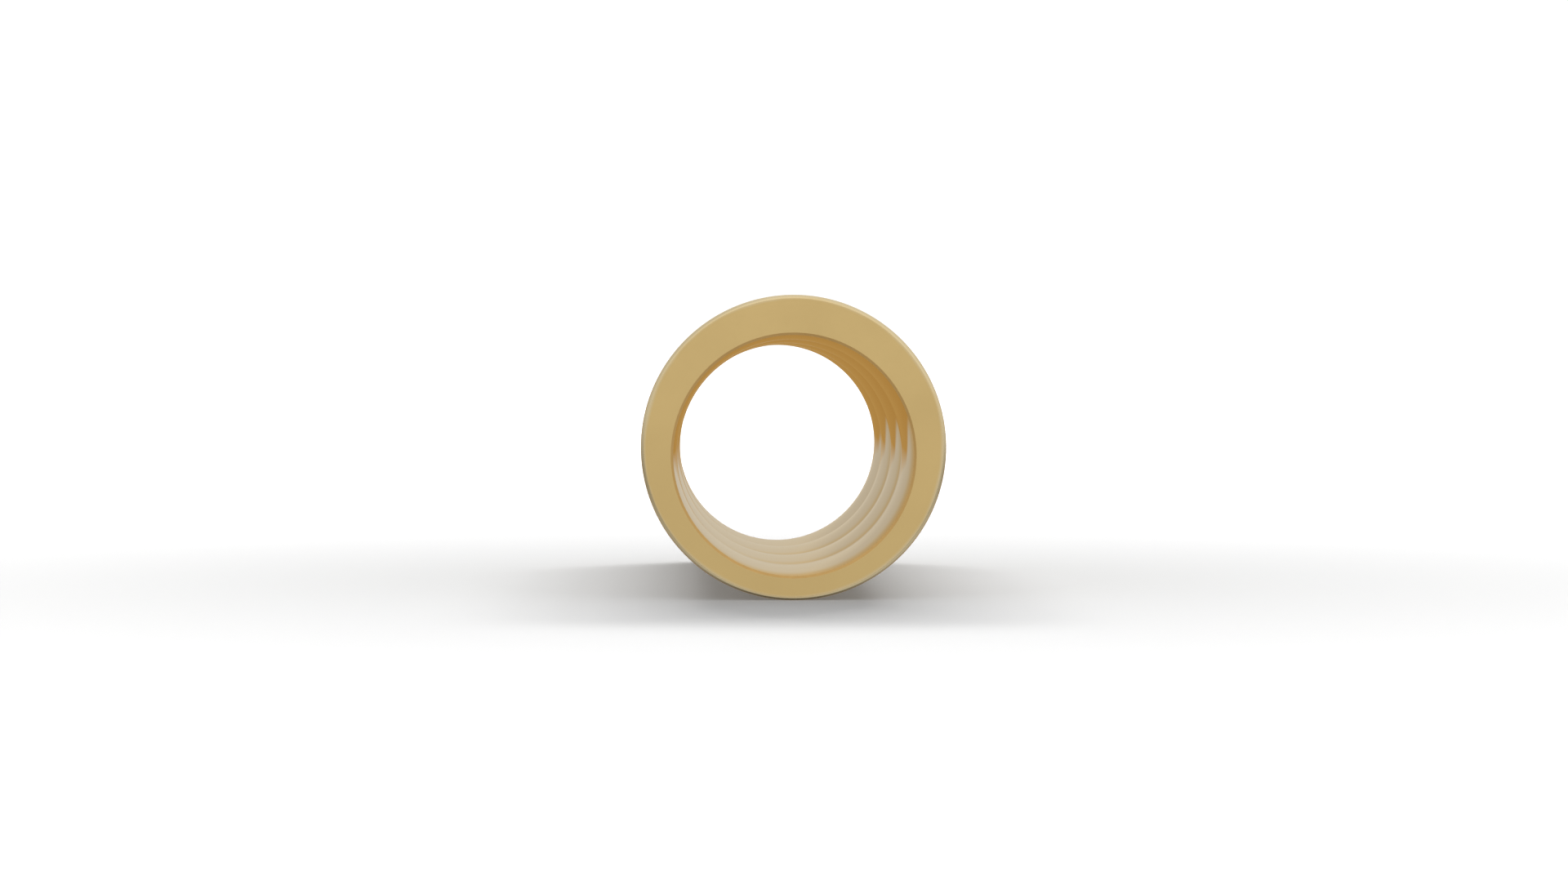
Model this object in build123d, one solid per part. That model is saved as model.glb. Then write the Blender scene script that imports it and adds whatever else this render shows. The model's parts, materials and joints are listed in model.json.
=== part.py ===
from build123d import *

import os

# A guitar slide: one turned brass tube, lying on its side.
# +Y runs along the tube from the player's open end to the far end, +Z is up.
# The origin is the centre of the outer cylinder, half way along it.
# All dimensions are in millimetres.

# Outside
outer_diameter = 25.0
slide_length = 60.0
rim_rounding = 0.3          # both outer rims

# Bore: its axis lies below the outer axis, so the wall is thick on top and thin underneath
bore_offset = 0.65
bore_diameter = 18.9        # at the crests of the middle grip bands, the narrowest places
end_crest_diameter = 19.15  # at the crests of the two end bands
valley_diameter = 19.4      # at the fine V lines where two bands meet
mouth_diameter = 19.7       # where an end band flares out to the mouth
mouth_chamfer_width = 0.2   # both inner edges, measured across the face
mouth_chamfer_depth = 0.05  # and along the bore

# Grip bands: the bore wall is turned as bands that bulge gently inwards, end to end
band_count = 4
band_pitch = 15.3           # from one V line to the next
crest_land = 0.6            # straight stretch along the crests of the middle bands

# How far the bore cutter runs out past each end face
cutter_run_out = 1.0

outer_radius = outer_diameter / 2
half_length = slide_length / 2
crest_radius = bore_diameter / 2
end_crest_radius = end_crest_diameter / 2
valley_radius = valley_diameter / 2
mouth_radius = mouth_diameter / 2
edge_radius = mouth_radius + mouth_chamfer_width
chamfer_start = half_length - mouth_chamfer_depth
towards_near_end = (-1, 0)
towards_far_end = (1, 0)


def band_edges():
    """Both ends of every band along the tube, with the bore radius there, from -Y to +Y."""
    valleys = [(index - band_count / 2) * band_pitch for index in range(1, band_count)]
    near_mouth = (-chamfer_start, mouth_radius)
    far_mouth = (chamfer_start, mouth_radius)
    return [near_mouth] + [(valley, valley_radius) for valley in valleys] + [far_mouth]


def grip_band(start, end, crest):
    """One band: an arc runs to each of its ends from the crest, a (radius, straight length) pair."""
    radius, land = crest
    middle = (start[0] + end[0]) / 2
    land_start = (middle - land / 2, radius)
    land_end = (middle + land / 2, radius)
    arcs = [
        TangentArc(land_start, start, tangent=towards_near_end),
        TangentArc(land_end, end, tangent=towards_far_end),
    ]
    return arcs + [Line(land_start, land_end)] if land else arcs


def mouth(side):
    """The chamfer at one end, and the cutter's way out past the face to the axis."""
    cutter_end = side * (half_length + cutter_run_out)
    way_out = Polyline(
        (side * chamfer_start, mouth_radius),
        (side * half_length, edge_radius),
        (cutter_end, edge_radius),
        (cutter_end, 0),
    )
    return way_out.edges()


def bore_cutter():
    """Everything removed from inside the tube, as one turned solid about the Y axis."""
    edges = band_edges()
    end_crest = (end_crest_radius, 0)
    middle_crests = [(crest_radius, crest_land)] * (band_count - 2)
    crests = [end_crest, *middle_crests, end_crest]
    wall = []
    for start, end, crest in zip(edges, edges[1:], crests):
        wall += grip_band(start, end, crest)
    wall += [*mouth(-1), *mouth(1)]
    axis_half_length = half_length + cutter_run_out
    centre_line = Line((-axis_half_length, 0), (axis_half_length, 0))
    return revolve(Plane.YZ * Face(Wire([*wall, centre_line])), Axis.Y)


def slide_body():
    """The whole slide: a plain cylinder with rounded rims and the off-centre banded bore."""
    blank = Rot(X=90) * Cylinder(outer_radius, slide_length)
    blank = fillet(blank.edges().filter_by(GeomType.CIRCLE), rim_rounding)
    return blank - Pos(Z=-bore_offset) * bore_cutter()


os.makedirs("parts", exist_ok=True)
export_step(slide_body(), "parts/slide_body.step")
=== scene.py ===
import json
from math import cos, pi, radians, sin, sqrt, tau

import bmesh
import bpy
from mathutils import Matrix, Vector


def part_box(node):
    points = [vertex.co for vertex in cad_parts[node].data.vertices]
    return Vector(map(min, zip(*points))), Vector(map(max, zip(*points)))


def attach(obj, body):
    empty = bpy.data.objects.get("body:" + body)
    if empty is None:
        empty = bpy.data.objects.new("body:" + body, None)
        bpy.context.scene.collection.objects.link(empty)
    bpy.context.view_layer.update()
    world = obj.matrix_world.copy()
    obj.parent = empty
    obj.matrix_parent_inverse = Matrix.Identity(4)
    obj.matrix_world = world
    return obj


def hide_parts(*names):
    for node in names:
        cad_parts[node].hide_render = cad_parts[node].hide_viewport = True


# A guitar slide: one turned brass tube lying on a pale floor, seen from its open end.
# Everything is in metres. +Y runs along the tube, +Z is up.

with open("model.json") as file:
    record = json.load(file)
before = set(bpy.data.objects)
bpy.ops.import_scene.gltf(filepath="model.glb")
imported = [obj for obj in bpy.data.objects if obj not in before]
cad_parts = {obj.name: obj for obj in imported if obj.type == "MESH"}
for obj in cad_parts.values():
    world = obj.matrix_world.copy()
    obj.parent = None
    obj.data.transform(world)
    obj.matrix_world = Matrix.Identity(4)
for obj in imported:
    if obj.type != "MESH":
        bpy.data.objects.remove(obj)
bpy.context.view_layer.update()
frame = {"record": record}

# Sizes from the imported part
near_corner, far_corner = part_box("slide_body")
centre = (near_corner + far_corner) / 2
outer_radius = (far_corner.x - near_corner.x) / 2
half_length = (far_corner.y - near_corner.y) / 2
finger_bore = next(m for m in frame["record"]["mounts"] if m["name"] == "finger_bore")
crest_radius = finger_bore["dims"]["r_mm"] / 1000
bore_drop = finger_bore["pos_m"][2]

# Details of the turned surfaces
rim_rounding = 0.0003
mouth_chamfer_width = 0.0002
mouth_chamfer_depth = 0.00005
end_crest_radius = crest_radius + 0.000125
valley_radius = crest_radius + 0.00025
mouth_radius = crest_radius + 0.0004
band_count = 4
band_pitch = 0.0153

# Mesh resolution
segments_around = 384
rows_per_band = 28
rows_per_rim = 8


def band_radius(position, start, end, crest):
    """Bore radius inside one band, which bulges inwards between its two (distance, radius) ends."""
    middle = (start[0] + end[0]) / 2
    from_middle = (position - middle) / (end[0] - middle)
    edge_radius = start[1] if from_middle < 0 else end[1]
    return crest + (edge_radius - crest) * from_middle**2


def bore_rings():
    """(distance along Y, radius, sharp) for every ring of the bore, from the near face to the far one."""
    edge_radius = mouth_radius + mouth_chamfer_width
    chamfer_start = half_length - mouth_chamfer_depth
    valleys = [(index - band_count / 2) * band_pitch for index in range(1, band_count)]
    ends = [(-chamfer_start, mouth_radius)]
    ends += [(valley, valley_radius) for valley in valleys]
    ends += [(chamfer_start, mouth_radius)]
    crests = [end_crest_radius] + [crest_radius] * (band_count - 2) + [end_crest_radius]
    rings = [(-half_length, edge_radius, True), (*ends[0], True)]
    for start, end, crest in zip(ends, ends[1:], crests):
        for row in range(1, rows_per_band + 1):
            position = start[0] + (end[0] - start[0]) * row / rows_per_band
            radius = band_radius(position, start, end, crest)
            rings.append((position, radius, row == rows_per_band))
    return rings + [(half_length, edge_radius, True)]


def outer_rings():
    """The same for the outside, from the far face back to the near one."""
    far_rim = []
    for row in range(rows_per_rim + 1):
        angle = pi / 2 * row / rows_per_rim
        position = half_length - rim_rounding * (1 - cos(angle))
        radius = outer_radius - rim_rounding * (1 - sin(angle))
        far_rim.append((position, radius, row in (0, rows_per_rim)))
    near_rim = [(-position, radius, sharp) for position, radius, sharp in reversed(far_rim)]
    return far_rim + near_rim


def ring_of_vertices(mesh, position, radius, height):
    """One closed circle of vertices about a lathe axis at the given height."""
    ring = []
    for step in range(segments_around):
        angle = tau * step / segments_around
        point = centre + Vector((radius * cos(angle), position, height + radius * sin(angle)))
        ring.append(mesh.verts.new(point))
    return ring


def added_object(name, mesh):
    """A new object in the scene, made from a finished bmesh."""
    data = bpy.data.meshes.new(name)
    mesh.to_mesh(data)
    mesh.free()
    added = bpy.data.objects.new(name, data)
    bpy.context.scene.collection.objects.link(added)
    return added


def slide_tube():
    """The whole slide as one closed skin: bore, far face, outside and near face."""
    mesh = bmesh.new()
    bore = bore_rings()
    outside = outer_rings()
    rings = [ring_of_vertices(mesh, position, radius, bore_drop) for position, radius, _ in bore]
    rings += [ring_of_vertices(mesh, position, radius, 0) for position, radius, _ in outside]
    sharp_rings = [ring for ring, (_, _, sharp) in zip(rings, bore + outside) if sharp]
    for ring, following in zip(rings, rings[1:] + rings[:1]):
        for step in range(segments_around):
            turn = (step + 1) % segments_around
            quad = mesh.faces.new((ring[step], ring[turn], following[turn], following[step]))
            quad.smooth = True
    for ring in sharp_rings:
        for step in range(segments_around):
            edge = mesh.edges.get((ring[step], ring[(step + 1) % segments_around]))
            edge.smooth = False
    bmesh.ops.recalc_face_normals(mesh, faces=mesh.faces)
    return added_object("slide_tube", mesh)


tube = slide_tube()


# Shader nodes

def node(tree, kind, **values):
    """A new shader node, with its properties or input sockets set by name."""
    made = tree.nodes.new(kind)
    for name, value in values.items():
        if hasattr(made, name):
            setattr(made, name, value)
        else:
            made.inputs[name.replace("_", " ")].default_value = value
    return made


def place(tree):
    """Where a point of the surface is, in the object's own coordinates."""
    return tree.nodes.new("ShaderNodeTexCoord").outputs["Object"]


def math_node(tree, operation, first, second=None):
    """A Math node whose inputs are numbers or the outputs of other nodes."""
    made = tree.nodes.new("ShaderNodeMath")
    made.operation = operation
    for socket, value in zip(made.inputs, (first, second)):
        if isinstance(value, bpy.types.NodeSocket):
            tree.links.new(value, socket)
        elif value is not None:
            socket.default_value = value
    return made.outputs[0]


def remap(tree, value, low, high, first=0.3, last=0.7):
    """A value between first and last (the middle of a noise, if not said) spread over low to high."""
    spread = tree.nodes.new("ShaderNodeMapRange")
    spread.inputs["From Min"].default_value = first
    spread.inputs["From Max"].default_value = last
    spread.inputs["To Min"].default_value = low
    spread.inputs["To Max"].default_value = high
    tree.links.new(value, spread.inputs["Value"])
    return spread.outputs[0]


def colour_mix(tree, blend_type, factor, first, second):
    """Two colours blended; each input is numbers or the output of another node."""
    mix = tree.nodes.new("ShaderNodeMix")
    mix.data_type = "RGBA"
    mix.blend_type = blend_type
    for name, value in (("Factor", factor), ("A", first), ("B", second)):
        if isinstance(value, bpy.types.NodeSocket):
            tree.links.new(value, mix.inputs[name])
        elif name == "Factor":
            mix.inputs[name].default_value = value
        else:
            mix.inputs[name].default_value = (*value, 1)
    return mix.outputs["Result"]


# Turned brass

fresh_brass = (0.605, 0.438, 0.188)     # the satin outside and the faced ends
dull_brass = (0.575, 0.414, 0.176)
worn_highlit_brass = (0.62, 0.51, 0.31)         # the outer rims: edge wear, and a paler painted highlight
highlit_bore_brass = (0.76, 0.62, 0.36)     # the bore: paler brass, a painted highlight for its whitish reflections
highlit_bore_dull = (0.72, 0.58, 0.33)
mouth_reflection_brass = (0.54, 0.345, 0.13)     # the chamfers at the mouths: darker orange brass, a painted reflection of the amber bore
mouth_reflection_dull = (0.50, 0.315, 0.115)

outside_roughness = (0.22, 0.28)
face_roughness = (0.26, 0.34)
bore_roughness = (0.03, 0.05)
mouth_roughness = (0.40, 0.50)
line_depth = 2e-7
bore_line_depth = 5e-8

# Sizes of the noises, in repeats a metre
line_scale = 9000.0
tarnish_scale = 160.0
scratch_scale = 500.0
scratch_stretch = (4.0, 0.15, 4.0)  # scratches run along the tube

# The worn rims, also paler from a painted highlight: distances from the outer edges
wear_highlight_start = 0.00015
wear_highlight_end = 0.00045
wear_highlight_raggedness = 0.0001


def lathe_place(tree, axis_height):
    """The distance from a lathe axis at the given height, and the distance along it."""
    split = tree.nodes.new("ShaderNodeSeparateXYZ")
    tree.links.new(place(tree), split.inputs[0])
    across = split.outputs["X"]
    height = math_node(tree, "SUBTRACT", split.outputs["Z"], axis_height)
    height_squared = math_node(tree, "MULTIPLY", height, height)
    across_squared = math_node(tree, "MULTIPLY", across, across)
    squares = math_node(tree, "ADD", height_squared, across_squared)
    return math_node(tree, "SQRT", squares), split.outputs["Y"]


def turning_lines(tree, axis_height):
    """Noise that only changes along Y and with the distance from the lathe axis: fine rings."""
    radius, along = lathe_place(tree, axis_height)
    joined = tree.nodes.new("ShaderNodeCombineXYZ")
    tree.links.new(radius, joined.inputs["X"])
    tree.links.new(along, joined.inputs["Y"])
    noise = node(tree, "ShaderNodeTexNoise", Scale=line_scale, Detail=3.0, Roughness=0.6)
    tree.links.new(joined.outputs[0], noise.inputs["Vector"])
    return noise.outputs["Fac"]


def blotches(tree, scale, stretch=(1.0, 1.0, 1.0)):
    """Uneven noise over the metal, for tarnish, handling marks and, stretched, for scratches."""
    stretched = node(tree, "ShaderNodeVectorMath", operation="MULTIPLY")
    stretched.inputs[1].default_value = stretch
    tree.links.new(place(tree), stretched.inputs[0])
    noise = node(tree, "ShaderNodeTexNoise", Scale=scale, Detail=3.0, Roughness=0.5)
    tree.links.new(stretched.outputs[0], noise.inputs["Vector"])
    return noise.outputs["Fac"]


def rim_wear_and_highlight(tree, patches):
    """1 on the outer rims, where handling wear and a painted highlight make the brass paler, fading
    unevenly to 0 beside them.
    """
    radius, along = lathe_place(tree, centre.z)
    from_side = math_node(tree, "SUBTRACT", outer_radius, radius)
    from_end = math_node(tree, "SUBTRACT", half_length, math_node(tree, "ABSOLUTE", along))
    from_rim = math_node(tree, "MAXIMUM", from_side, from_end)
    ragged = math_node(tree, "ADD", from_rim, remap(tree, patches, -wear_highlight_raggedness, wear_highlight_raggedness))
    return remap(tree, ragged, 1.0, 0.0, wear_highlight_start, wear_highlight_end)


def turned_brass(name, axis_height, roughness, depth, fresh, dull):
    """Solid brass off the lathe: fine turning lines, thin scratches, a little tarnish, rims paler from
    wear and a painted highlight.
    """
    material = bpy.data.materials.new(name)
    material.use_nodes = True
    tree = material.node_tree
    shader = tree.nodes["Principled BSDF"]
    shader.inputs["Metallic"].default_value = 1.0

    lines = turning_lines(tree, axis_height)
    tarnish = blotches(tree, tarnish_scale)
    scratches = blotches(tree, scratch_scale, scratch_stretch)
    metal = colour_mix(tree, "MIX", remap(tree, tarnish, 0.0, 1.0), fresh, dull)
    # The rims get the paler brass: real wear, and a painted highlight.
    colour = colour_mix(tree, "MIX", rim_wear_and_highlight(tree, tarnish), metal, worn_highlit_brass)
    tree.links.new(colour, shader.inputs["Base Color"])

    low, high = roughness
    half_spread = (high - low) / 2
    dull_patches = remap(tree, tarnish, 0.0, half_spread)
    dull_scratches = remap(tree, scratches, 0.0, half_spread)
    uneven = math_node(tree, "ADD", dull_patches, dull_scratches)
    satin = math_node(tree, "ADD", remap(tree, lines, low, high), uneven)
    tree.links.new(satin, shader.inputs["Roughness"])

    bump = node(tree, "ShaderNodeBump", Strength=1.0, Distance=depth)
    tree.links.new(lines, bump.inputs["Height"])
    tree.links.new(bump.outputs["Normal"], shader.inputs["Normal"])
    return material


brasses = [
    turned_brass("outside_brass", centre.z, outside_roughness, line_depth, fresh_brass, dull_brass),
    turned_brass("face_brass", centre.z, face_roughness, line_depth, fresh_brass, dull_brass),
    # The bore's pale brass is a painted highlight.
    turned_brass("bore_brass", bore_drop, bore_roughness, bore_line_depth, highlit_bore_brass, highlit_bore_dull),
    # The mouths' darker orange brass is a painted reflection.
    turned_brass("mouth_brass", bore_drop, mouth_roughness, line_depth, mouth_reflection_brass, mouth_reflection_dull),
]
outside_index, face_index, bore_index, mouth_index = range(len(brasses))
flatness = 1e-6


def brass_index(face):
    """Which of the brasses one face of the mesh is made of."""
    middle = face.center - centre
    across = sqrt(middle.x**2 + middle.z**2)
    if abs(middle.y) > half_length - flatness:
        return face_index
    if across > outer_radius - 2 * rim_rounding:
        return outside_index
    if abs(middle.y) > half_length - mouth_chamfer_depth:
        return mouth_index
    return bore_index


for brass in brasses:
    tube.data.materials.append(brass)
for face in tube.data.polygons:
    face.material_index = brass_index(face)

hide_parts("slide_body")
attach(tube, "root")


# Floor and backdrop: one white bowl all round, which the metal doesn't reflect

flat_rings = (0.05, 0.5)  # radii of the rings in the flat middle
floor_radius = 2.0
bowl_bend = 0.4
wall_height = 2.0
bowl_segments = 96
bend_steps = 24
floor_white = 0.265

# How strongly the paper glows round the slide and further out, and the radii between which it changes
glow_near, glow_far = 0.12, 0.75
glow_start, glow_end = 0.03, 0.3


def bowl():
    """A round floor that bends up into a wall."""
    profile = [(radius, 0.0) for radius in flat_rings]
    for step in range(bend_steps + 1):
        angle = pi / 2 * step / bend_steps
        profile.append((floor_radius + bowl_bend * sin(angle), bowl_bend * (1 - cos(angle))))
    profile.append((floor_radius + bowl_bend, wall_height))
    mesh = bmesh.new()
    rings = []
    for radius, up in profile:
        ring = []
        for step in range(bowl_segments):
            angle = tau * step / bowl_segments
            ring.append(mesh.verts.new((radius * cos(angle), radius * sin(angle), near_corner.z + up)))
        rings.append(ring)
    mesh.faces.new(rings[0])
    for ring, following in zip(rings, rings[1:]):
        for step in range(bowl_segments):
            turn = (step + 1) % bowl_segments
            mesh.faces.new((ring[step], following[step], following[turn], ring[turn])).smooth = True
    return added_object("bowl", mesh)


def white_paper():
    """White, with a painted glow: faint round the slide, where it lightens the shadow, and stronger
    further out, so that floor and wall read as one.
    """
    paper = bpy.data.materials.new("white_paper")
    paper.use_nodes = True
    tree = paper.node_tree
    shader = tree.nodes["Principled BSDF"]
    shader.inputs["Base Color"].default_value = (floor_white, floor_white, floor_white, 1)
    shader.inputs["Roughness"].default_value = 1.0
    shader.inputs["Specular IOR Level"].default_value = 0.0
    shader.inputs["Emission Color"].default_value = (1, 1, 1, 1)
    distance = node(tree, "ShaderNodeVectorMath", operation="LENGTH")
    tree.links.new(place(tree), distance.inputs[0])
    glow = remap(tree, distance.outputs["Value"], glow_near, glow_far, glow_start, glow_end)
    tree.links.new(glow, shader.inputs["Emission Strength"])
    return paper


floor = bowl()
floor.visible_glossy = False
floor.visible_shadow = False
floor.data.materials.append(white_paper())


# Key light: a wide, soft strip behind and above, made of a row of suns. The metal doesn't reflect it.

strip_height = radians(37)
strip_turns = [radians(degrees) for degrees in range(-26, 35, 10)]
strip_softness = radians(11)
strip_strength = 9.0

for number, turn in enumerate(strip_turns):
    towards = Vector((sin(turn) * cos(strip_height), cos(turn) * cos(strip_height), sin(strip_height)))
    sun_data = bpy.data.lights.new(f"strip_{number}", "SUN")
    sun_data.energy = strip_strength / len(strip_turns)
    sun_data.angle = strip_softness
    sun = bpy.data.objects.new(f"strip_{number}", sun_data)
    sun.rotation_euler = towards.to_track_quat("Z", "Y").to_euler()
    sun.visible_glossy = False
    bpy.context.scene.collection.objects.link(sun)


# Surroundings, by direction: what the metal reflects

world = bpy.data.worlds.new("studio")
bpy.context.scene.world = world
world.use_nodes = True
sky = world.node_tree
direction = sky.nodes.new("ShaderNodeSeparateXYZ")
sky.links.new(sky.nodes.new("ShaderNodeTexCoord").outputs["Generated"], direction.inputs[0])
to_right = direction.outputs["X"]
away = direction.outputs["Y"]
upward = direction.outputs["Z"]


def rising(value, first, last):
    """0 up to first, 1 from last on, and even between the two."""
    return remap(sky, value, 0.0, 1.0, first, last)


def light_ramp(value, stops, first=-1.0, last=1.0):
    """Light that changes with a value between first and last: stops are (value, colour)."""
    ramp = sky.nodes.new("ShaderNodeValToRGB")
    elements = ramp.color_ramp.elements
    positions = [(level - first) / (last - first) for level, _ in stops]
    elements[0].position = positions[0]
    elements[1].position = positions[-1]
    for position in positions[1:-1]:
        elements.new(position)
    for element, (_, colour) in zip(elements, stops):
        element.color = (*colour, 1)
    sky.links.new(rising(value, first, last), ramp.inputs[0])
    return ramp.outputs["Color"]


def grey(level):
    """A grey light of the given strength."""
    return (level, level, level)


# Behind the slide, a wooden bench lies just under the horizon, with a pale room above its edge.
# The edge is level on the right and falls away on the left.
edge_kink = 0.1
edge_slope = 0.9
edge_below, edge_above = -0.026, -0.008
wood = (0.465, 0.265, 0.073)
room = light_ramp(to_right, [
    (-0.2, (0.49, 0.425, 0.32)),
    (-0.06, (0.55, 0.48, 0.37)),
    (0.0, (0.635, 0.55, 0.41)),
    (0.1, (0.62, 0.55, 0.43)),
    (0.2, (0.58, 0.52, 0.43)),
])

# The room is warmer away from the tube's axis, and a little cooler near it
halo_start, halo_end = 0.97, 1.0
halo = light_ramp(away, [
    (0.97555, (1.04, 0.84, 0.52)),
    (0.98095, (1.01, 0.89, 0.69)),
    (0.985, (1.03, 1.01, 0.96)),
    (0.98845, (1.04, 1.05, 1.08)),
    (1.0, grey(1.0)),
], halo_start, halo_end)

# It is dark straight down, and white overhead
dark_end, bench_start = -0.7, -0.45
dark_light = grey(0.12)
white_start, white_full = 0.25, 0.6
white_light = grey(1.1)

leftward = math_node(sky, "MINIMUM", math_node(sky, "ADD", to_right, edge_kink), 0.0)
above_edge = math_node(sky, "SUBTRACT", upward, math_node(sky, "MULTIPLY", leftward, edge_slope))
warm_room = colour_mix(sky, "MULTIPLY", 1.0, room, halo)
bench = colour_mix(sky, "MIX", rising(above_edge, edge_below, edge_above), wood, warm_room)
bench_and_floor = colour_mix(sky, "MIX", rising(upward, dark_end, bench_start), dark_light, bench)
far_light = colour_mix(sky, "MIX", rising(upward, white_start, white_full), bench_and_floor, white_light)

# On the viewer's side: a soft box above, dark under the slide, and dimmer to both sides
near_light = light_ramp(upward, [
    (-1.0, grey(0.03)),
    (-0.92, grey(0.22)),
    (-0.75, grey(0.68)),
    (-0.48, grey(0.95)),
    (-0.2, grey(0.54)),
    (-0.08, grey(0.71)),
    (0.03, grey(1.15)),
    (0.2, grey(1.36)),
    (0.5, grey(1.3)),
    (0.85, grey(1.2)),
    (1.0, grey(1.1)),
])
side_light = light_ramp(to_right, [
    (-1.0, grey(0.6)),
    (-0.45, grey(0.75)),
    (0.0, grey(1.0)),
    (0.45, grey(0.9)),
    (1.0, grey(0.75)),
])
viewer_light = colour_mix(sky, "MULTIPLY", 1.0, near_light, side_light)

# The two sides blend where the direction turns away from the viewer
far_side_start, far_side_full = 0.3, 0.7
dome = colour_mix(sky, "MIX", rising(away, far_side_start, far_side_full), viewer_light, far_light)
sky.links.new(dome, sky.nodes["Background"].inputs["Color"])


# Camera: just above the tube's axis, looking almost straight into the open end

camera_from_centre = Vector((-0.00809, -0.2988, 0.00561))
turn_right = radians(1.553)
tilt_down = radians(1.071)

camera_data = bpy.data.cameras.new("camera")
camera_data.lens = 75.6
camera_data.sensor_width = 36.0
camera_data.clip_start = 0.005
camera = bpy.data.objects.new("camera", camera_data)
camera.location = centre + camera_from_centre
camera.rotation_euler = (pi / 2 - tilt_down, 0, -turn_right)
bpy.context.scene.collection.objects.link(camera)
bpy.context.scene.camera = camera
bpy.context.scene.view_settings.view_transform = "Standard"

# Light reaches the middle of the bore by many reflections
bpy.context.scene.cycles.glossy_bounces = 12
